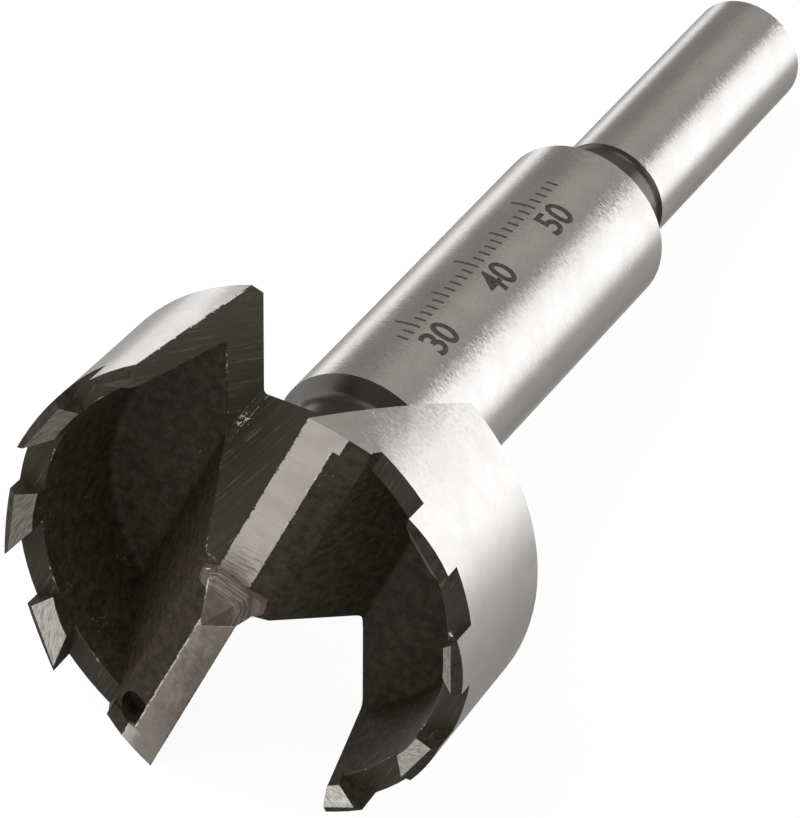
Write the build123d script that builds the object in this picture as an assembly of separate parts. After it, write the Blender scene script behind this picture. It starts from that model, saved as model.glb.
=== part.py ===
from build123d import *
import math
import os

# A saw-tooth forstner bit for a chuck, one piece of tool steel.
# It is modelled upright first: its axis on Z, its point up, z = 0 on the back face of the head and the
# X axis along the first cutting edge. It turns anticlockwise as seen from its point. At the end it is
# laid down on a flat surface, as it comes to rest. All sizes are in millimetres and degrees.

# Head: a cup with two chip pockets, two lifters and a toothed rim, cut through by two gullets
RIM_DIAMETER = 40.0          # across the outer corners of the cutting edges, the size of the hole
HEAD_HEIGHT = 15.05          # back face to the cutting edges
BACK_RELIEF = 0.45           # the head is this much smaller in radius at its back
BACK_CHAMFER = 1.25          # on the outer corner of the back face
WEB_THICKNESS = 4.25         # floor of the chip pockets over the back face
RIM_WALL = 3.7               # rim at the pocket floor
POCKET_DRAFT = 10.0          # lean of the rim's inner wall
POCKET_FILLET = 0.7          # round the pocket floor

# Rim teeth: each has a ridge that falls away behind its tip, with a wide flat ground inside the ridge
# and a narrow bevel outside it
TEETH_PER_SIDE = 4           # on each half of the rim, besides the outer end of the lifter
TOOTH_PITCH = 30.8           # degrees
TOOTH_ARC = 16.3             # length of one tooth, degrees
NOTCH_DEPTH = 2.35           # cutting edges to the floor of the gaps
RIDGE_RISE = 0.35            # ridge tip over the cutting edges
RIDGE_INSET = 0.8            # ridge from the outer surface
RIDGE_TURN = 11.6            # from a tooth's tip to the radius that its ridge is square to, degrees
TOOTH_CLEARANCE = 8.0        # fall of the ridge behind the tip
LEADING_SLANT = 41.0         # the leading face falls back towards the inside, from the outer corner
INNER_FLAT_SLOPE = 43.0
OUTER_BEVEL_SLOPE = 35.0

# Lifters: the two chip-lifting cutting edges
EDGE_AHEAD = 1.78            # edge in front of the axis
FLANK_WIDTH = 2.79           # ground flat behind the edge
FLANK_SLOPE = 12.2
HEEL_WIDTH = 2.53            # rough second flat behind that one
HEEL_SLOPE = 20.6
RAKE = 30.0                  # lean of the front face
LIFTER_FOOT = 8.4            # foot of the sloping back on the pocket floor, from the axis
RIM_END_WIDTH = 1.9          # outer end of the lifter, which is part of the rim and is left higher
RIM_END_FLANK = 3.35         # ground flat there, behind the edge
RIM_END_SLOPE = 16.6         # of the rough flat behind it
CORNER_INSET = 3.1           # hollow in the second lifter's corner with the rim, from the outer surface
CORNER_BEHIND = 3.5          # behind the edge
CORNER_RADIUS = 1.45
CORNER_DEPTH = 2.65          # under the cutting edges

# Gullets: the two openings that let the chips out past the rim
GULLET_WALL_OUT = 7.81       # bottom wall from the axis, at the back face
GULLET_WALL_AZIMUTH = 21.4   # where that wall faces, round from the edge
GULLET_WALL_LEAN = 22.7      # towards the axis at the point end
END_FACE_OUT = 5.05          # end face of the rim from the axis, at the back face
END_FACE_AZIMUTH = -64.2     # where it faces
END_FACE_LEAN = 11.9
GULLET_CORNER = 0.4          # left by the milling cutter

# Centre point: a ground pyramid on a round shoulder. Each half has a broad side that ends at the lifter's
# flank, a narrow one along the edge and a steep one over the shoulder.
POINT_RISE = 4.4             # over the cutting edges
BROAD_SIDE = (-13.2, 17.85)  # where it faces, and its slope from the axis
NARROW_SIDE = (20.0, 28.3)
STEEP_SIDE = (-70.0, 21.0)
POINT_FLAT_AZIMUTH = 45.5    # upright flat on the corner of the pyramid
POINT_FLAT_OUT = 2.2         # from the axis
SHOULDER_DIAMETER = 5.9
SHOULDER_DROP = 0.5          # top of the shoulder under the cutting edges
SHOULDER_BEVEL = 0.35
POINT_RELIEF = 0.9           # lifters cut back beside the steep sides, to this far from the axis

# Neck, collar, grinding groove and shank, behind the head
NECK_DIAMETER = 12.4
NECK_LENGTH = 6.4
NECK_FILLET = 1.1
COLLAR_DIAMETER = 15.1
COLLAR_LENGTH = 38.8
COLLAR_CHAMFER = 0.3
GROOVE_DIAMETER = 9.3
GROOVE_LENGTH = 5.0
GROOVE_FILLET = 0.6
SHANK_DIAMETER = 10.0
SHANK_LENGTH = 26.7
SHANK_CHAMFER = 0.25

rim_radius = RIM_DIAMETER / 2
ridge_height = HEAD_HEIGHT + RIDGE_RISE
notch_floor = HEAD_HEIGHT - NOTCH_DEPTH
crown_top = ridge_height + 1.0
reach = 2 * RIM_DIAMETER
collar_front = -NECK_LENGTH
collar_back = collar_front - COLLAR_LENGTH
shank_front = collar_back - GROOVE_LENGTH
shank_end = shank_front - SHANK_LENGTH
apex = HEAD_HEIGHT + POINT_RISE

# Section of a lifter across its edge: y and z of each corner behind the edge
flank_back = EDGE_AHEAD - FLANK_WIDTH
flank_back_height = HEAD_HEIGHT - FLANK_WIDTH * math.tan(math.radians(FLANK_SLOPE))
heel_back = flank_back - HEEL_WIDTH
heel_back_height = flank_back_height - HEEL_WIDTH * math.tan(math.radians(HEEL_SLOPE))
lifter_back_run = (LIFTER_FOOT + heel_back) / (heel_back_height - WEB_THICKNESS)


def outer_radius(z):
    return rim_radius - BACK_RELIEF * (1 - z / HEAD_HEIGHT)


def wall_radius(z):
    return rim_radius - RIM_WALL + (z - WEB_THICKNESS) * math.tan(math.radians(POCKET_DRAFT))


def turned(points):
    """A solid of revolution about Z, from its outline as radius and height."""
    return revolve(Plane.XZ * make_face(Polyline(*points, close=True)), Axis.Z)


def beyond(point, normal):
    """All the space on the side of a plane that its normal points to."""
    box = Box(reach, reach, reach, align=(Align.CENTER, Align.CENTER, Align.MIN))
    return Plane(origin=point, z_dir=normal) * box


def facing(azimuth, lean, distance, height=0.0):
    """Point and normal of a plane that faces outwards at an azimuth and leans up by an angle."""
    around = math.radians(azimuth)
    point = (distance * math.cos(around), distance * math.sin(around), height)
    normal = (math.cos(around), math.sin(around), math.tan(math.radians(lean)))
    return point, normal


def both_sides(solid):
    """The same feature on both halves of the head."""
    return [solid, Rot(0, 0, 180) * solid]


def tooth(tip_azimuth):
    """One rim tooth, from its tip back, with its inner flat and its outer bevel."""
    foot = notch_floor - 1.0
    inside = wall_radius(foot) - 1.0
    outside = rim_radius + 1.0
    middle = Pos((inside + outside) / 2, (foot + crown_top) / 2)
    outline = middle * Rectangle(outside - inside, crown_top - foot)
    block = Rot(0, 0, -TOOTH_ARC) * revolve(Plane.XZ * outline, Axis.Z, TOOTH_ARC)
    turn = math.radians(RIDGE_TURN)
    tip_radius = rim_radius - RIDGE_INSET / 2
    ridge = (tip_radius * math.cos(turn), tip_radius * math.sin(turn), ridge_height)
    fall = math.tan(math.radians(TOOTH_CLEARANCE))
    inner_flat = beyond(ridge, (-math.tan(math.radians(INNER_FLAT_SLOPE)), -fall, 1))
    outer_bevel = beyond(ridge, (math.tan(math.radians(OUTER_BEVEL_SLOPE)), -fall, 1))
    block -= Rot(0, 0, -RIDGE_TURN) * inner_flat
    block -= Rot(0, 0, -RIDGE_TURN) * outer_bevel
    block -= beyond((rim_radius, 0, 0), (-math.tan(math.radians(LEADING_SLANT)), 1, 0))
    return Rot(0, 0, tip_azimuth) * block


def lifter_top():
    """The raised bar that carries one cutting edge, over the floor of the rim's notches."""
    foot = notch_floor - 0.5
    foot_out = -heel_back + (heel_back_height - foot) * lifter_back_run
    edge_foot = heel_back_height + (-heel_back - EDGE_AHEAD) * math.tan(math.radians(HEEL_SLOPE))
    section = Polyline(
        (-foot_out, foot),
        (heel_back, heel_back_height),
        (flank_back, flank_back_height),
        (EDGE_AHEAD, HEAD_HEIGHT),
        (EDGE_AHEAD, edge_foot),
        (-heel_back, heel_back_height),
        (foot_out, foot),
        close=True,
    )
    bar = extrude(Plane.YZ * make_face(section), rim_radius + 1)
    steep_azimuth, steep_slope = STEEP_SIDE
    point_side = beyond(*facing(steep_azimuth + 180, steep_slope, 0, apex))
    by_the_axis = Box(2 * POINT_RELIEF, reach, reach, align=(Align.CENTER, Align.CENTER, Align.MIN))
    bar -= point_side & Pos(0, 0, edge_foot) * by_the_axis
    return bar + rim_end()


def rim_end():
    """The outer end of a lifter, where it crosses the rim and stands a little higher."""
    ground_back = EDGE_AHEAD - RIM_END_FLANK
    ground_height = HEAD_HEIGHT - RIM_END_FLANK * math.tan(math.radians(FLANK_SLOPE))
    rough_height = ground_height - (ground_back - heel_back) * math.tan(math.radians(RIM_END_SLOPE))
    foot = notch_floor - 0.5
    section = Polyline(
        (flank_back, foot),
        (flank_back, flank_back_height),
        (ground_back, ground_height),
        (heel_back, rough_height),
        (heel_back, foot),
        close=True,
    )
    return Pos(rim_radius - RIM_END_WIDTH, 0, 0) * extrude(Plane.YZ * make_face(section), rim_radius)


def corner_hollow():
    """The round hollow behind the second lifter's flat, in its corner with the rim."""
    floor = Pos(rim_radius - CORNER_INSET, EDGE_AHEAD - CORNER_BEHIND, HEAD_HEIGHT - CORNER_DEPTH)
    hollow = floor * Cylinder(CORNER_RADIUS, reach, align=(Align.CENTER, Align.CENTER, Align.MIN))
    return Rot(0, 0, 180) * (hollow & beyond((0, flank_back, 0), (0, -1, 0)))


def chip_pocket():
    """The hollow behind the first lifter, between its sloping back and the rim."""
    cup = turned([
        (0, WEB_THICKNESS),
        (wall_radius(WEB_THICKNESS), WEB_THICKNESS),
        (wall_radius(crown_top), crown_top),
        (0, crown_top),
    ])
    pocket = cup & beyond((0, heel_back, heel_back_height), (0, -1, lifter_back_run))
    floor_edges = pocket.faces().sort_by(Axis.Z)[0].edges()
    return fillet(floor_edges, POCKET_FILLET)


def gullet():
    """The opening in front of the first lifter: rake face, bottom wall and the rim's end face."""
    rake = beyond((0, EDGE_AHEAD, HEAD_HEIGHT), (0, 1, -math.tan(math.radians(RAKE))))
    wall = beyond(*facing(GULLET_WALL_AZIMUTH, GULLET_WALL_LEAN, GULLET_WALL_OUT))
    end_face = beyond(*facing(END_FACE_AZIMUTH, END_FACE_LEAN, -END_FACE_OUT))
    opening = rake & wall & end_face
    turn = math.radians(GULLET_WALL_AZIMUTH - END_FACE_AZIMUTH)
    along_wall = (GULLET_WALL_OUT * math.cos(turn) + END_FACE_OUT) / math.sin(turn)
    corner = Rot(0, 0, GULLET_WALL_AZIMUTH) * Pos(GULLET_WALL_OUT, along_wall, 0)
    corner_edge = opening.edges().sort_by_distance(corner.position)[0]
    return fillet(corner_edge, GULLET_CORNER)


def head():
    outside = turned([
        (0, 0),
        (outer_radius(0) - BACK_CHAMFER, 0),
        (outer_radius(BACK_CHAMFER), BACK_CHAMFER),
        (outer_radius(crown_top), crown_top),
        (0, crown_top),
    ])
    blank = Cylinder(rim_radius + 2, notch_floor, align=(Align.CENTER, Align.CENTER, Align.MIN))
    tip_azimuth = math.degrees(math.asin(EDGE_AHEAD / rim_radius))
    raised = both_sides(lifter_top())
    for number in range(1, TEETH_PER_SIDE + 1):
        raised += both_sides(tooth(tip_azimuth - number * TOOTH_PITCH))
    solid = (blank + raised) & outside
    solid -= both_sides(chip_pocket())
    solid -= corner_hollow()
    solid -= both_sides(gullet())
    return solid


def centre_point():
    """Round shoulder with the ground pyramid on it."""
    root = WEB_THICKNESS + 1.0
    shoulder = HEAD_HEIGHT - SHOULDER_DROP
    radius = SHOULDER_DIAMETER / 2
    boss = turned([
        (0, root),
        (radius, root),
        (radius, shoulder - SHOULDER_BEVEL),
        (radius - SHOULDER_BEVEL, shoulder),
        (0, shoulder),
    ])
    pyramid = turned([(0, root), (radius + 0.2, root), (radius + 0.2, apex), (0, apex)])
    for side in (NARROW_SIDE, STEEP_SIDE):
        pyramid -= both_sides(beyond(*facing(*side, 0, apex)))
    solid = boss + pyramid
    solid -= both_sides(beyond(*facing(*BROAD_SIDE, 0, apex)))
    solid -= both_sides(beyond(*facing(POINT_FLAT_AZIMUTH, 0, POINT_FLAT_OUT)))
    return solid


def body():
    """Neck, collar, grinding groove and shank."""
    neck = NECK_DIAMETER / 2
    collar = COLLAR_DIAMETER / 2
    groove = GROOVE_DIAMETER / 2
    shank = SHANK_DIAMETER / 2
    section = make_face(Polyline(
        (0, 1),
        (neck - 0.5, 1),
        (neck + NECK_FILLET + 0.3, 0),
        (neck, 0),
        (neck, collar_front + (collar - neck)),
        (collar - COLLAR_CHAMFER, collar_front + COLLAR_CHAMFER),
        (collar, collar_front),
        (collar, collar_back + COLLAR_CHAMFER),
        (collar - COLLAR_CHAMFER, collar_back),
        (groove, collar_back),
        (groove, shank_front + (shank - groove)),
        (shank, shank_front),
        (shank, shank_end + SHANK_CHAMFER),
        (shank - SHANK_CHAMFER, shank_end),
        (0, shank_end),
        close=True,
    ))
    neck_corners = section.vertices().filter_by(lambda v: abs(v.X - neck) < 0.01)
    section = fillet(neck_corners, NECK_FILLET)
    groove_corners = section.vertices().filter_by(lambda v: abs(v.X - groove) < 0.01)
    section = fillet(groove_corners, GROOVE_FILLET)
    return revolve(Plane.XZ * section, Axis.Z)


def resting_plane():
    """The surface that the bit lies on: it touches the second lifter's outer corner, the back corner of
    the rim across the gullet from it, and the end of the shank."""
    lifter_corner = Vector(-math.sqrt(rim_radius ** 2 - EDGE_AHEAD ** 2), -EDGE_AHEAD, HEAD_HEIGHT)
    radius = outer_radius(BACK_CHAMFER)
    lift = BACK_CHAMFER * math.tan(math.radians(END_FACE_LEAN))
    across = math.degrees(math.acos((-END_FACE_OUT - lift) / radius))
    azimuth = math.radians(END_FACE_AZIMUTH + 180 + across)
    rim_corner = Vector(radius * math.cos(azimuth), radius * math.sin(azimuth), BACK_CHAMFER)
    shank_height = shank_end + SHANK_CHAMFER
    slope = 0.0
    for _ in range(40):
        step = lifter_corner - rim_corner
        down = math.atan2(step.X, -step.Y)
        down -= math.asin(slope * step.Z / math.hypot(step.X, step.Y))
        out = lifter_corner.X * math.cos(down) + lifter_corner.Y * math.sin(down)
        slope = (out - SHANK_DIAMETER / 2) / (lifter_corner.Z - shank_height)
    down_way = Vector(math.cos(down), math.sin(down), -slope).normalized()
    return Plane(origin=(0, 0, 0), x_dir=(0, 0, -1) + down_way * down_way.Z, z_dir=-down_way)


upright = head() + body() + centre_point()
lying = resting_plane().to_local_coords(upright)
corners = lying.tessellate(0.01, 0.1)[0]
across = [corner.X for corner in corners]
aside = [corner.Y for corner in corners]
lowest = min(corner.Z for corner in corners)
bit = Pos(-(min(across) + max(across)) / 2, -(min(aside) + max(aside)) / 2, -lowest) * lying

os.makedirs("parts", exist_ok=True)
export_step(bit, "parts/forstner_bit.step")
print("solids", len(bit.solids()), "volume", round(bit.volume, 1))
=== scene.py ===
import math

import bmesh
import bpy
from mathutils import Euler, Matrix, Vector
from mathutils.geometry import intersect_plane_plane


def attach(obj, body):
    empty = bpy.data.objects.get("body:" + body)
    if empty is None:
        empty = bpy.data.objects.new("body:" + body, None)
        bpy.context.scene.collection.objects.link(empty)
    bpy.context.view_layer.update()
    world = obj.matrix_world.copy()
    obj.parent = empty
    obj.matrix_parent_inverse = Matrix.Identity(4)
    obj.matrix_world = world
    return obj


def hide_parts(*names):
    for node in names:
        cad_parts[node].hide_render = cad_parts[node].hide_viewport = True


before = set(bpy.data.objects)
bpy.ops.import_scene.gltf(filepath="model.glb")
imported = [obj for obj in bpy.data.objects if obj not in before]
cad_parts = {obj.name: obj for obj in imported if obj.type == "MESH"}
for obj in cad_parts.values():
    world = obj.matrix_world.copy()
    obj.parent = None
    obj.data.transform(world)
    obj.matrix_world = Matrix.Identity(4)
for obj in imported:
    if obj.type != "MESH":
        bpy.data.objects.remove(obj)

bpy.context.view_layer.update()

# The camera stands beyond the bit's point and looks down along it through a long lens.
# The bit lies on the table with its shank away from the camera.
CAMERA_AT = (-0.356379, -0.148088, 0.412774)
CAMERA_TURN = (0.746865, -0.097672, -1.055491)


def add(name, data):
    """A new object in the scene, made of the given data."""
    added = bpy.data.objects.new(name, data)
    bpy.context.scene.collection.objects.link(added)
    return added


camera = add("camera", bpy.data.cameras.new("camera"))
camera.location = CAMERA_AT
camera.rotation_euler = Euler(CAMERA_TURN)
camera.data.sensor_width = 36
camera.data.lens = 301.5
camera.data.clip_start = 0.05
camera.data.clip_end = 20
bpy.context.scene.camera = camera

# The bit is one bar of tool steel, forged, turned, milled and ground. Its faces are sorted by finish
# from where they lie on the tool, in millimetres from the back face of the head, along and round its
# axis, which slopes down to the shank. The first lifter points along the tool's X axis.
TOOL_ORIGIN = Vector((-28.7385, 0, 17.09903))
TOOL_SLOPE = 9.114828
TOOL_ROLL = -14.836043
laid = Matrix.Rotation(math.radians(TOOL_SLOPE - 90), 3, "Y")
rolled = Matrix.Rotation(math.radians(TOOL_ROLL), 3, "Z")
TOOL_AXES = laid @ rolled
TO_TOOL = TOOL_AXES.transposed()

# Radii, and heights over the back face of the head, which tell one finish from the next.
COLLAR_RADIUS = 7.55
SHANK_FRONT = -50.2
SHANK_END = -76.9
RIM_RADIUS = 20.0
OUTSIDE_FROM = 19.3
BACK_CHAMFER_FROM = 18.4
BACK_CHAMFER_TOP = 1.3
EDGE_HEIGHT = 15.05
NOTCH_FLOOR = 12.7
EDGE_AHEAD = 1.78
FLANK_WIDTH = 2.79
FLANK_SLOPE = 12.2
FLANK_FOOT = 14.25
POINT_RADIUS = 4.2
POINT_FOOT = 14.15
SHOULDER_RADIUS = 3.1
LEDGE_RADIUS = 5.0

# Azimuth, lean and distance from the axis of the gullets' two planes, and the reach of the round
# that the cutter leaves where they meet.
END_FACE = (-64.2, 11.9, -5.05)
GULLET_WALL = (21.4, 22.7, 7.81)
GULLET_ROUND = 0.42

# The finishes stand in the order in which their materials are made below.
FINISHES = [
    "ground", "turned", "forged", "end face", "gullet wall", "notch",
    "flank", "tooth", "point", "worn_glint", "rubbed",
]
BARE_FINISHES = ("ground", "flank")
BLACK_FINISHES = ("forged", "end face", "gullet wall")
WORN_BETWEEN = (
    ("ground", "end face"), ("gullet wall", "flank"), ("forged", "end face"), ("forged", "gullet wall"),
    ("forged", "notch"),
)
WORN_WIDTH = 0.09
WORN_BEND = 22
POINT_WORN_BEND = 75
SMOOTH_BEND = 35
FLAT_BEND = 0.3
MERGE_WITHIN = 0.008


def on_tool(place):
    """A place in the frame, in millimetres along the tool's own axes."""
    return TO_TOOL @ (place * 1000 - TOOL_ORIGIN)


def facing(azimuth, lean):
    """The way out of a plane that faces an azimuth on the tool and leans up."""
    turn = math.radians(azimuth)
    return Vector((math.cos(turn), math.sin(turn), math.tan(math.radians(lean)))).normalized()


def milled_plane(azimuth, lean, distance):
    """The way out of a milled plane, and how far along it the plane lies from the tool's origin."""
    return facing(azimuth, lean), distance * math.cos(math.radians(lean))


def lies_on(place, normal, plane):
    """Whether a face of the head lies on a milled plane, which looks into the steel."""
    out, height = milled_plane(*plane)
    return abs(place.dot(out) - height) < 0.1 and abs(normal.dot(out)) > 0.99


end_out, end_height = milled_plane(*END_FACE)
wall_out, wall_height = milled_plane(*GULLET_WALL)
corner_at, corner_way = intersect_plane_plane(
    end_out * end_height, end_out, wall_out * wall_height, wall_out
)


def finish_of(face):
    """Which finish a face of the steel has."""
    place = on_tool(face.calc_center_median())
    normal = TO_TOOL @ face.normal
    radius = math.hypot(place.x, place.y)
    outward = (place.x * normal.x + place.y * normal.y) / max(radius, 0.01)
    sideways = outward > 0.9
    if place.z < -0.05:
        on_collar = sideways and abs(radius - COLLAR_RADIUS) < 0.1
        on_shank = place.z < SHANK_FRONT and outward > -0.1 or place.z < SHANK_END + 0.01
        return "ground" if on_collar or on_shank else "turned"
    if sideways and radius > OUTSIDE_FROM:
        return "ground"
    if place.z < 0.05:
        return "turned"
    if place.z < BACK_CHAMFER_TOP and radius > BACK_CHAMFER_FROM and outward > 0.5:
        return "ground"
    if radius < POINT_RADIUS and place.z > POINT_FOOT and abs(normal.z) < 0.9:
        return "point"
    off_slope = math.copysign(1, place.x) * normal.y + math.sin(math.radians(FLANK_SLOPE))
    if place.z > FLANK_FOOT and normal.z > 0.93 and abs(off_slope) < 0.03:
        return "flank"
    if place.z > NOTCH_FLOOR and outward < -0.6 and 0.6 < normal.z < 0.8:
        return "tooth"
    on_shoulder = radius < SHOULDER_RADIUS and place.z > POINT_FOOT - 0.15
    on_ledge = radius < LEDGE_RADIUS and abs(place.z - POINT_FOOT) < 0.05
    if on_shoulder or on_ledge:
        return "point"
    if place.z > NOTCH_FLOOR - 0.05 and normal.z > 0.98:
        return "notch"
    for turn in (0, 180):
        turned = Matrix.Rotation(math.radians(turn), 3, "Z")
        place_here, normal_here = turned @ place, turned @ normal
        if lies_on(place_here, normal_here, END_FACE):
            return "end face"
        if lies_on(place_here, normal_here, GULLET_WALL):
            return "gullet wall"
        if (place_here - corner_at).cross(corner_way).length < GULLET_ROUND:
            return "gullet wall"
    return "forged"


steel = bpy.data.meshes.new("steel")
shape = bmesh.new()
shape.from_mesh(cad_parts["forstner_bit"].data)
bmesh.ops.remove_doubles(shape, verts=shape.verts, dist=MERGE_WITHIN / 1000)
bmesh.ops.dissolve_limit(
    shape,
    angle_limit=math.radians(FLAT_BEND),
    use_dissolve_boundaries=False,
    verts=shape.verts,
    edges=shape.edges,
)
for face in shape.faces:
    face.material_index = FINISHES.index(finish_of(face))
    face.smooth = True
worn_edges = []
for edge in shape.edges:
    between = tuple(sorted((FINISHES[face.material_index] for face in edge.link_faces), key=FINISHES.index))
    bend = math.degrees(edge.calc_face_angle_signed(0))
    on_corner = between in WORN_BETWEEN and bend > WORN_BEND
    on_point = between == ("point", "point") and bend > POINT_WORN_BEND
    if on_corner or on_point:
        worn_edges.append(edge)
bmesh.ops.bevel(
    shape,
    geom=worn_edges,
    offset=WORN_WIDTH / 1000,
    offset_type="OFFSET",
    segments=1,
    affect="EDGES",
    clamp_overlap=False,
    material=FINISHES.index("worn_glint"),
)
for face in [face for face in shape.faces if FINISHES[face.material_index] == "worn_glint"]:
    beside = {FINISHES[other.material_index] for edge in face.edges for other in edge.link_faces}
    if beside.isdisjoint(BARE_FINISHES) and not beside.isdisjoint(BLACK_FINISHES):
        face.material_index = FINISHES.index("rubbed")
for edge in shape.edges:
    edge.smooth = edge.calc_face_angle(0) < math.radians(SMOOTH_BEND)
shape.to_mesh(steel)
shape.free()
bit = add("bit", steel)
even = bit.modifiers.new("even", "WEIGHTED_NORMAL")
even.keep_sharp = True
even.weight = 80
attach(bit, "root")
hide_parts("forstner_bit")

# Ground steel: collar, shank and the outside of the head, ground round their axis to size. The
# wheel leaves a fine bright grain of short scratches that run round the bit, fainter on the head and
# along two polished bands, and one side of the head is a little duller.
GROUND_DARK = (0.600, 0.588, 0.578, 1)
GROUND_LIGHT = (0.655, 0.645, 0.636, 1)
GROUND_FLECK = (0.54, 0.525, 0.51, 1)


class Wire:
    """A socket of a node tree. Arithmetic on it adds Math nodes, and node() adds any other."""

    def __init__(self, tree, socket=None):
        self.tree = tree
        self.socket = socket

    def node(self, kind, settings=None, inputs=None, output=0):
        made = self.tree.nodes.new("ShaderNode" + kind)
        for name, value in (settings or {}).items():
            setattr(made, name, value)
        for name, value in (inputs or {}).items():
            if isinstance(value, Wire):
                self.tree.links.new(value.socket, made.inputs[name])
            else:
                made.inputs[name].default_value = value
        return Wire(self.tree, made.outputs[output])

    def maths(self, operation, *values):
        return self.node("Math", {"operation": operation}, dict(enumerate(values)))

    def vector(self, operation, *values, output=0):
        return self.node("VectorMath", {"operation": operation}, dict(enumerate(values)), output)

    def __add__(self, other):
        return self.maths("ADD", self, other)

    def __radd__(self, other):
        return self.maths("ADD", other, self)

    def __sub__(self, other):
        return self.maths("SUBTRACT", self, other)

    def __rsub__(self, other):
        return self.maths("SUBTRACT", other, self)

    def __mul__(self, other):
        return self.maths("MULTIPLY", self, other)

    def __rmul__(self, other):
        return self.maths("MULTIPLY", other, self)

    def __truediv__(self, other):
        return self.maths("DIVIDE", self, other)

    def __rtruediv__(self, other):
        return self.maths("DIVIDE", other, self)

    def __abs__(self):
        return self.maths("ABSOLUTE", self)

    def sign(self):
        return self.maths("SIGN", self)

    def highest(self, other):
        return self.maths("MAXIMUM", self, other)

    def fade(self, start, end):
        """0 at start and 1 at end, smoothly between, also where end is the lower."""
        if end < start:
            return 1 - self.fade(end, start)
        settings = {"interpolation_type": "SMOOTHSTEP"}
        return self.node("MapRange", settings, {"Value": self, "From Min": start, "From Max": end})

    def part(self, number):
        """One coordinate of this place: 0 for X, 1 for Y and 2 for Z."""
        return self.node("SeparateXYZ", None, {0: self}, number)

    def joined(self, x, y, z):
        """A place with the three coordinates, which are wires or numbers."""
        return self.node("CombineXYZ", None, {0: x, 1: y, 2: z})

    def length(self):
        return self.vector("LENGTH", self, output=1)

    def from_axis(self):
        """How far this place lies from the tool's axis."""
        return self.vector("MULTIPLY", self, (1, 1, 0)).length()

    def along(self, way):
        """How far this place lies along a direction."""
        return self.vector("DOT_PRODUCT", self, tuple(way), output=1)

    def grain(self, cells, detail=2.0, rough=0.5):
        """Noise at this place, 0 to 1, with a number of cells in a millimetre, or one for each axis."""
        if not isinstance(cells, tuple):
            cells = (cells, cells, cells)
        stretched = self.vector("MULTIPLY", self, cells)
        inputs = {"Vector": stretched, "Scale": 1.0, "Detail": detail, "Roughness": rough}
        return self.node("TexNoise", None, inputs)

    def blend(self, first, second):
        """The first colour where this is 0, the second where it is 1."""
        return self.node("MixRGB", None, {0: self, 1: first, 2: second})


def finish(name):
    """The Principled BSDF of the bit's next material, and the place on the tool in millimetres."""
    material = bpy.data.materials.new(name)
    material.use_nodes = True
    steel.materials.append(material)
    start = Wire(material.node_tree)
    mapping = {
        "Vector": start.node("TexCoord", output=3),
        "Location": -(TO_TOOL @ TOOL_ORIGIN),
        "Rotation": TO_TOOL.to_euler(),
        "Scale": (1000, 1000, 1000),
    }
    return material.node_tree.nodes["Principled BSDF"], start.node("Mapping", None, mapping)


def feed(shader, **sockets):
    """Links wires to the sockets of a shader, or sets their values."""
    for name, value in sockets.items():
        socket = shader.inputs[name.replace("_", " ")]
        if isinstance(value, Wire):
            value.tree.links.new(value.socket, socket)
        else:
            socket.default_value = value


def bump(height, depth, strength):
    """The normal of a surface whose height varies by a depth in millimetres."""
    return height.node("Bump", None, {"Strength": strength, "Distance": depth / 1000, "Height": height})


surface, place = finish("ground")
on_head = place.part(2).fade(-0.5, 0.5)
sine = place.part(1) / place.from_axis()
polished = sine.fade(0.40, 0.80) + sine.fade(-0.30, -0.65)
duller = on_head * sine.fade(-0.55, -0.90)
scratch = place.grain((1.9, 1.9, 7.0), 2, 0.7)
speck = place.grain((6.0, 6.0, 8.0), 1, 0.5)
patch = place.grain(0.15, 2, 0.5).fade(0.42, 0.58)
strength = (1 - 0.35 * on_head) * (1 - 0.8 * polished) * (0.5 + 0.5 * patch)
tilt = ((scratch - 0.5) * 0.54 + (speck - 0.5) * 0.14) * strength
outward = place.node("NewGeometry", output=1)
round_way = outward.vector("CROSS_PRODUCT", outward, tuple(TOOL_AXES.col[2]))
tipped = round_way.node("VectorMath", {"operation": "SCALE"}, {0: round_way, 3: tilt})
cloud = place.grain(0.35, 3, 0.6).fade(0.3, 0.7)
fleck = place.grain(2.4, 3, 0.6).fade(0.54, 0.74) * (1 - polished)
feed(
    surface,
    Base_Color=fleck.blend(cloud.blend(GROUND_DARK, GROUND_LIGHT), GROUND_FLECK),
    Metallic=1.0,
    Roughness=0.22 + scratch * 0.10 + duller * 0.16,
    Normal=tipped.vector("NORMALIZE", tipped.vector("ADD", tipped, outward)),
)

# Turned steel: the neck, the groove and the back of the head, left as turned and then blackened
# with the rest of the bar. The fine rings of the turning tool still show, and the groove and the
# back end of the neck are glossier.
TURNED_DARK = (0.050, 0.045, 0.040, 1)
TURNED_LIGHT = (0.085, 0.077, 0.068, 1)
surface, place = finish("turned")
rings = place.grain((0.05, 0.05, 7.0), 2, 0.5)
feed(
    surface,
    Base_Color=rings.blend(TURNED_DARK, TURNED_LIGHT),
    Metallic=0.8,
    Roughness=0.24 + rings * 0.08,
    Coat_Weight=place.part(2).fade(-4.2, -5.6),
    Coat_Roughness=0.22,
    Normal=bump(rings, 0.01, 0.2),
)

# Forged steel: the chip pockets and the rough backs of the lifters, black with scale, a little
# lumpy, with bright flecks where chips have rubbed and a ragged bare strip along the flanks.
HIND_EDGE = EDGE_AHEAD - FLANK_WIDTH
RIM_END_START = 18.1
RIM_END_FLANK = 3.35
RIM_END_HIND_EDGE = EDGE_AHEAD - RIM_END_FLANK
SCALE_DARK = (0.020, 0.015, 0.010, 1)
SCALE_LIGHT = (0.048, 0.038, 0.026, 1)
SCALE_FLECK = (0.16, 0.14, 0.11, 1)
BARE_STRIP = (0.52, 0.50, 0.47, 1)


def ahead_of_axis(place):
    """How far a place lies ahead of the axis, towards the cutting side of its own lifter."""
    return place.part(1) * place.part(0).sign()


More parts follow.
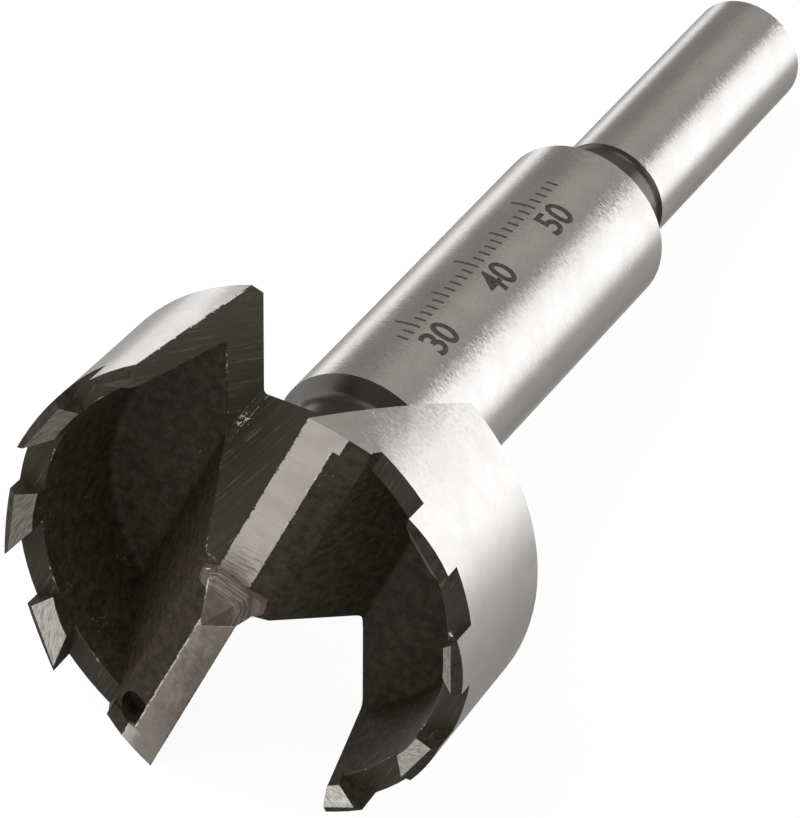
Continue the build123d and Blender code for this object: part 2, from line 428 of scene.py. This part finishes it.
def flank_inside(place):
    """How far inside a flank's ragged hind edge a place lies; below 0 on the rough heel behind it."""
    out_along = abs(place.part(0))
    at_rim = out_along.maths("GREATER_THAN", out_along, RIM_END_START)
    edge = HIND_EDGE + (RIM_END_HIND_EDGE - HIND_EDGE) * at_rim
    ragged = (place.grain(2.5, 3, 0.8) - 0.5) * 0.45 + (place.grain(0.9, 1) - 0.5) * 0.2
    return ahead_of_axis(place) - edge + ragged


surface, place = finish("forged")
lumps = place.grain(1.3, 4, 0.6)
pits = place.grain(5.0, 3, 0.6)
rubbed = place.grain(0.35, 2, 0.5)
fleck = (place.grain(3.0, 3, 0.7) + (rubbed - 0.5) * 0.5).fade(0.69, 0.78)
inside = flank_inside(place)
strip = inside.fade(-0.02, 0.02) * inside.fade(0.6, 0.5) * place.part(2).fade(14.1, 14.2)
scale = fleck.blend(lumps.fade(0.3, 0.7).blend(SCALE_DARK, SCALE_LIGHT), SCALE_FLECK)
feed(
    surface,
    Base_Color=strip.blend(scale, BARE_STRIP),
    Metallic=strip * 0.8,
    Roughness=0.50 + pits * 0.2 - strip * 0.2,
    Specular_IOR_Level=0.32,
    Normal=bump(lumps + pits * 0.35, 0.14, 0.8),
)

# Milled steel: the ends of the rim, the walls of the gullets and the gaps between the teeth. The
# cutter leaves straight marks, which differ in direction, and some of them are scored paler. The
# black lies thinly on all this and is chipped at two spots; the bare steel there has a painted glint.
END_FACE_LIGHT = (0.125, 0.112, 0.085)
GULLET_WALL_LIGHT = (0.088, 0.078, 0.060)
NOTCH_LIGHT = (0.066, 0.056, 0.042)
DARK_SHARE = 0.45
SCORED = (0.26, 0.24, 0.21, 1)
# Bare steel painted near white as its glint, a painted highlight; used on the milled faces, the flanks'
# burr and the worn corners.
BARE_STEEL_GLINT = (0.80, 0.78, 0.75, 1)
CORNER_LINE = GULLET_ROUND + 0.01
# Two chips in the black, painted near white: bare steel with a painted glint.
CHIPS_AND_GLINTS = ((Vector((4.02, 8.16, 2.6)), 0.20), (Vector((8.7, -15.7, 12.7)), 0.16))


def half_turned(place, side):
    """The place turned half round the axis where side is -1, so that both halves share a pattern."""
    return place.vector("MULTIPLY", place, place.joined(side, side, 1.0))


def milled(name, out, streak, light):
    """A milled finish on planes that face out, with marks along a streak, and bare lines where the
    cutter rounded the corner of the gullet, painted near white as their glint, a painted highlight."""
    surface, place = finish(name)
    one_side = half_turned(place, place.part(1).sign())
    across = out.cross(streak).normalized()
    marks = place.joined(one_side.along(across) * 5, one_side.along(streak) * 0.10, 0.0).grain(1, 3, 0.65)
    cloud = place.grain(0.8, 3, 0.6)
    level = marks.fade(0.30, 0.80) * 0.4 + marks.fade(0.57, 0.64) * 0.6 * cloud.fade(0.42, 0.58)
    dark = tuple(DARK_SHARE * value for value in light)
    scored = marks.fade(0.60, 0.68) * cloud.fade(0.44, 0.60) * 0.35
    black = scored.blend(level.blend((*dark, 1), (*light, 1)), SCORED)
    from_corner = one_side.vector("SUBTRACT", one_side, corner_at)
    from_corner = from_corner.vector("CROSS_PRODUCT", from_corner, corner_way).length()
    # Painted highlight: the bare lines along the gullet's corner and the two chips are matt near white,
    # standing for the glint of bare steel.
    dashes = place.grain(2.9, 3, 0.7)
    line = abs(from_corner - CORNER_LINE).fade(0.06, 0.02)
    bare_and_glint = line * place.part(2).fade(6.0, 2.5) * dashes.fade(0.48, 0.58) * 0.5
    for middle, size in CHIPS_AND_GLINTS:
        from_chip_glint = place.vector("SUBTRACT", place, middle).length() + (dashes - 0.5) * 3.4
        bare_and_glint = bare_and_glint.highest(from_chip_glint.fade(size + 0.06, size - 0.02))
    feed(
        surface,
        Base_Color=bare_and_glint.blend(black, BARE_STEEL_GLINT),
        Metallic=0.0,
        Roughness=0.45,
        Specular_IOR_Level=0.32,
        Normal=bump(marks, 0.02, 0.6),
    )


milled("end face", end_out, Vector((-0.62, -0.30, -1.96)).normalized(), END_FACE_LIGHT)
milled("gullet wall", wall_out, Vector((0.113, -0.289, -1.0)).normalized(), GULLET_WALL_LIGHT)
milled("notch", Vector((0, 0, 1)), Vector((1, 0, 0)), NOTCH_LIGHT)

# The flanks: flats ground behind the two cutting edges, bare, with marks across them, clouds of heat
# tint and a burr on their ragged hind edge, painted bright as its glint. The first is marked dark beside
# the point, and the second is smoked brown in clouds, with a painted highlight at the hind edge of its
# raised outer end.
FLANK_DARK = (0.57, 0.535, 0.503, 1)
FLANK_LIGHT = (0.65, 0.617, 0.585, 1)
HEAT_TINT = (0.555, 0.500, 0.457, 1)
SMOKE_DARK = (0.34, 0.295, 0.25, 1)
SMOKE_LIGHT = (0.44, 0.39, 0.34, 1)
DARK_MARKS = (0.20, 0.18, 0.16, 1)
HEEL_BLACK = (0.03, 0.025, 0.02, 1)
surface, place = finish("flank")
inside = flank_inside(place)
along_first = place.part(0)
out_along = abs(along_first)
second = along_first.fade(1.0, -1.0)
marks = place.grain((7.0, 0.6, 1.0), 3, 0.6)
heat = place.grain(0.4, 3, 0.5).fade(0.40, 0.70)
heated = heat.blend(marks.fade(0.35, 0.7).blend(FLANK_DARK, FLANK_LIGHT), HEAT_TINT)
blotch = place.grain((0.5, 0.9, 0.9), 5, 0.7)
smoke = (inside + (blotch - 0.5) * 9.0).fade(0.1, 2.6)
smoke = smoke * out_along.fade(19.5, 12.0) * (0.55 + 0.45 * out_along.fade(3.0, 7.0))
smoked = smoke.blend(heated, marks.fade(0.35, 0.65).blend(SMOKE_DARK, SMOKE_LIGHT))
near_point = along_first.fade(6.5, 3.2) * along_first.fade(-1.0, 1.0)
marked = near_point * marks.fade(0.50, 0.40) * 0.8
tint = marked.blend(second.blend(heated, smoked), DARK_MARKS)
runs = (place.grain(1.2, 2, 0.6) + second * 0.17).fade(0.56, 0.66)
rim_end = second * out_along.fade(18.0, 18.5) * (inside + (blotch - 0.5) * 2.0).fade(1.9, 0.5) * 0.6
# Painted highlight: the burr and the hind edge of the second flank's raised end are painted near white and
# made less metallic, so that they stay bright as a glint.
burr_and_glint = (inside.fade(0.0, 0.03) * inside.fade(0.14, 0.09) * runs).highest(rim_end)
nick = (place.grain(2.0, 3, 0.8) - 0.5) * 0.9
behind_edge = EDGE_AHEAD - ahead_of_axis(place)
bitten = inside.fade(0.0, -0.04).highest((behind_edge + nick).fade(0.03, -0.01))
feed(
    surface,
    Base_Color=bitten.blend(burr_and_glint.blend(tint, BARE_STEEL_GLINT), HEEL_BLACK),
    Metallic=(1 - bitten) * (1 - burr_and_glint * 0.6),
    Roughness=0.36 + marks * 0.1,
    Normal=bump(marks, 0.012, 0.6),
)

# The inner flats of the rim teeth, each ground by hand along its ridge. The lines that the wheel
# left run round the rim and slant outwards a little.
LINES_ROUND = 0.9
LINES_OUT = 0.43
TOOTH_DARK = (0.36, 0.33, 0.30, 1)
TOOTH_LIGHT = (0.65, 0.63, 0.605, 1)
surface, place = finish("tooth")
radius = place.from_axis()
arc = place.maths("ARCTAN2", place.part(1), place.part(0)) * RIM_RADIUS
across = (radius * LINES_ROUND - arc * LINES_OUT) * 11
along = (arc * LINES_ROUND + radius * LINES_OUT) * 0.6
lines = place.joined(across, along, place.part(2) * 2).grain(1, 3, 0.65)
feed(
    surface,
    Base_Color=lines.fade(0.36, 0.60).blend(TOOTH_DARK, TOOTH_LIGHT),
    Metallic=1.0,
    Roughness=0.34 + lines * 0.1,
    Normal=bump(lines, 0.012, 0.6),
)

# The centre point, ground to a pyramid with a small wheel. It is brown from the heat, and the
# wheel's lines, paler low down, run along the flanks.
BROAD_SIDE = (-13.2, 17.85)
POINT_DARK = (0.138, 0.114, 0.094, 1)
POINT_LIGHT = (0.195, 0.164, 0.141, 1)
POINT_LINES = (0.62, 0.57, 0.52, 1)
surface, place = finish("point")
broad_out = facing(*BROAD_SIDE)
border = broad_out.cross(Vector((0, -math.tan(math.radians(FLANK_SLOPE)), 1))).normalized()
half = half_turned(place, place.part(0).sign())
across = half.along(broad_out.cross(border)) * 11
lines = place.joined(across, half.along(border) * 0.3, 0.0).grain(1, 2, 0.6)
low_down = place.part(2).fade(17.0, 16.0) * place.part(2).fade(14.6, 15.2)
brown = place.grain(1.2, 2, 0.5).fade(0.3, 0.7).blend(POINT_DARK, POINT_LIGHT)
feed(
    surface,
    Base_Color=(lines.fade(0.46, 0.58) * low_down * 0.6).blend(brown, POINT_LINES),
    Metallic=0.35,
    Roughness=0.36,
    Normal=bump(lines, 0.01, 0.5),
)

# Worn corners: narrow strips along the outward corners, where the black has come off in short runs
# and bare steel shows, painted light and mostly matt as its glint. Between black faces the corners are only
# rubbed, and less of them is bare.
WORN_BLACK = (0.05, 0.045, 0.04, 1)
RUBBED_BLACK = (0.034, 0.027, 0.020, 1)
RUBBED_BARE = (0.45, 0.42, 0.38, 1)


def worn_corners(name, cells, wear_range, black, bare_and_glint, metallic, roughness):
    """Black strips with runs of bare steel, painted light as its glint; the wear has this many cells in a
    millimetre.
    """
    surface, place = finish(name)
    runs = place.grain(0.35, 2, 0.5)
    wear_and_glint = (place.grain(cells, 3, 0.7) + (runs - 0.5) * 0.9).fade(*wear_range)
    feed(surface, Base_Color=wear_and_glint.blend(black, bare_and_glint), Metallic=wear_and_glint * metallic, Roughness=roughness)


# Painted highlight: the bare steel on the worn corners is painted near white and made mostly matt, so that
# it stays bright as a glint whatever it faces.
worn_corners("worn_glint", 2.2, (0.50, 0.56), WORN_BLACK, BARE_STEEL_GLINT, metallic=0.4, roughness=0.38)
worn_corners("rubbed", 2.8, (0.65, 0.73), RUBBED_BLACK, RUBBED_BARE, metallic=0.3, roughness=0.45)

# The marking: a depth scale burnt into the collar by laser, in millimetres from the cutting
# edges, with a line for each millimetre and a number for each ten. It is a skin a few thousandths
# thick, drawn flat in millimetres, cut into strips and laid round the collar.
MARK_AZIMUTH = 20.0
MARK_FROM = 28
MARK_TO = 54
FIRST_NUMBER = 30
MARK_HEIGHT = 0.006
MARK_SINK = 0.02
TICK_WIDTH = 0.22
TICK_LENGTHS = {10: 2.2, 5: 1.6, 1: 1.0}
DIGIT_SIZE = 3.5
DIGIT_BOLDNESS = 0.07
DIGIT_BASE = -3.0
STRIP_WIDTH = 0.25
MARK_MERGE = 0.001
MARK_DARK = (0.040, 0.033, 0.028, 1)
MARK_LIGHT = (0.070, 0.060, 0.052, 1)

shape = bmesh.new()
for depth in range(MARK_FROM, MARK_TO + 1):
    length = next(length for every, length in TICK_LENGTHS.items() if depth % every == 0)
    tick = bmesh.ops.create_grid(shape, x_segments=1, y_segments=1, size=0.5)["verts"]
    bmesh.ops.scale(shape, vec=(TICK_WIDTH, length, 1), verts=tick)
    bmesh.ops.translate(shape, vec=(depth, length / 2, 0), verts=tick)
for depth in range(FIRST_NUMBER, MARK_TO, 10):
    letters = bpy.data.curves.new("number", "FONT")
    letters.body = str(depth)
    letters.size = DIGIT_SIZE
    letters.align_x = "CENTER"
    letters.offset = DIGIT_BOLDNESS
    letters.resolution_u = 4
    written = add("number", letters)
    bpy.context.view_layer.update()
    before = len(shape.verts)
    shape.from_mesh(bpy.data.meshes.new_from_object(written))
    shape.verts.ensure_lookup_table()
    bmesh.ops.translate(shape, vec=(depth, DIGIT_BASE, 0), verts=shape.verts[before:])
    bpy.data.objects.remove(written)
bmesh.ops.remove_doubles(shape, verts=shape.verts, dist=MARK_MERGE)
heights = [vert.co.y / STRIP_WIDTH for vert in shape.verts]
for step in range(math.floor(min(heights)), math.ceil(max(heights))):
    everything = shape.verts[:] + shape.edges[:] + shape.faces[:]
    bmesh.ops.bisect_plane(shape, geom=everything, plane_co=(0, step * STRIP_WIDTH, 0), plane_no=(0, 1, 0))
raised = bmesh.ops.extrude_face_region(shape, geom=shape.faces[:])["geom"]
raised = [vert for vert in raised if isinstance(vert, bmesh.types.BMVert)]
bmesh.ops.translate(shape, vec=(0, 0, MARK_HEIGHT + MARK_SINK), verts=raised)
bmesh.ops.recalc_face_normals(shape, faces=shape.faces)
for vert in shape.verts:
    radius = COLLAR_RADIUS - MARK_SINK + vert.co.z
    turn = math.radians(MARK_AZIMUTH) + vert.co.y / COLLAR_RADIUS
    on_collar = Vector((radius * math.cos(turn), radius * math.sin(turn), EDGE_HEIGHT - vert.co.x))
    vert.co = (TOOL_AXES @ on_collar + TOOL_ORIGIN) / 1000
scale_mesh = bpy.data.meshes.new("depth_scale")
shape.to_mesh(scale_mesh)
shape.free()
depth_scale = add("depth_scale", scale_mesh)
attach(depth_scale, "root")
burnt = bpy.data.materials.new("burnt")
burnt.use_nodes = True
start = Wire(burnt.node_tree)
mapping = {"Vector": start.node("TexCoord", output=3), "Scale": (1000, 1000, 1000)}
place = start.node("Mapping", None, mapping)
feed(
    burnt.node_tree.nodes["Principled BSDF"],
    Base_Color=place.grain(3.0, 3, 0.6).fade(0.3, 0.7).blend(MARK_DARK, MARK_LIGHT),
    Metallic=0.0,
    Roughness=0.5,
)
scale_mesh.materials.append(burnt)

# The table is plain white paper. To the camera it is mostly its own even white, with enough of
# the lit matt paper mixed in to keep the bit's shadow.
TABLE_REACH = 6
PAPER = (0.86, 0.86, 0.86, 1)
WHITE = (1, 1, 1, 1)
OWN_STRENGTH = 1.06
OWN_SHARE = 0.88
floor_mesh = bpy.data.meshes.new("floor")
shape = bmesh.new()
bmesh.ops.create_grid(shape, x_segments=1, y_segments=1, size=TABLE_REACH)
shape.to_mesh(floor_mesh)
shape.free()
floor = add("floor", floor_mesh)
floor.visible_glossy = False
paper = bpy.data.materials.new("paper")
paper.use_nodes = True
paper.node_tree.nodes.remove(paper.node_tree.nodes["Principled BSDF"])
start = Wire(paper.node_tree)
seen = start.node("LightPath", output=0)
matt = start.node("BsdfDiffuse", None, {"Color": PAPER})
white = start.node("Emission", None, {"Color": WHITE, "Strength": OWN_STRENGTH})
mixed = start.node("MixShader", None, {0: seen * OWN_SHARE, 1: matt, 2: white})
feed(paper.node_tree.nodes["Material Output"], Surface=mixed)
floor_mesh.materials.append(paper)

# The light: a white studio with softboxes round the bit, which the bare steel mirrors, and one
# lamp that casts the shadow. What the steel mirrors between the softboxes is dim and a little warm.
ROOM_MIRRORED = 0.21
ROOM_ON_MATT = 0.75
WARM = (1.0, 0.955, 0.905, 1)

# Direction of each softbox, degrees to the edge of its full light and to its outer edge, strength.
# The last three shine mainly into the views from other sides.
SOFTBOXES = (
    ((1.0, 0.0, 0.2), 50, 110, 0.06),
    ((0.765, -0.625, 0.095), 13, 32, 1.34),
    ((0.69, -0.64, -0.35), 5, 34, 0.12),
    ((0.64, -0.35, -0.70), 5, 24, 0.06),
    ((0.30, 0.77, -0.57), 4, 18, 1.7),
    ((0.705, 0.66, -0.25), 3, 11, 1.28),
    ((0.66, 0.50, -0.55), 5, 18, 0.17),
    ((0.83, 0.10, 0.54), 6, 24, 0.17),
    ((0.62, 0.14, -0.78), 4, 14, 0.22),
    ((-0.25, 0.95, 0.12), 12, 44, 0.96),
    ((-0.87, -0.08, -0.49), 12, 32, 0.68),
    ((-0.62, -0.65, 0.45), 12, 30, 0.78),
    ((0.28, 0.05, 0.96), 9, 28, 0.85),
    ((-0.95, 0.0, 0.30), 8, 24, 0.80),
    ((0.10, -0.95, 0.30), 10, 26, 0.60),
)

world = bpy.data.worlds.new("studio")
bpy.context.scene.world = world
world.use_nodes = True
start = Wire(world.node_tree)
way = start.node("TexCoord", output=0)
mirrored = ROOM_MIRRORED
for direction, full, outer, strength in SOFTBOXES:
    cosine = way.along(Vector(direction).normalized())
    glow = cosine.fade(math.cos(math.radians(outer)), math.cos(math.radians(full)))
    mirrored = mirrored + glow * strength
glossy = start.node("LightPath", output=3)
seen = start.node("LightPath", output=0)
feed(
    world.node_tree.nodes["Background"],
    Color=seen.highest(mirrored.fade(0.3, 0.9)).blend(WARM, WHITE),
    Strength=seen + (1 - seen) * (glossy * mirrored + (1 - glossy) * ROOM_ON_MATT),
)

lamp = bpy.data.lights.new("softbox", "AREA")
lamp.shape = "RECTANGLE"
lamp.size = 0.5
lamp.size_y = 0.4
lamp.energy = 1.6
softbox = add("softbox", lamp)
softbox.location = (-0.25, 0.35, 0.6)
softbox.rotation_euler = softbox.location.to_track_quat("Z", "Y").to_euler()
softbox.visible_glossy = False
softbox.visible_camera = False

bpy.context.scene.view_settings.view_transform = "Standard"
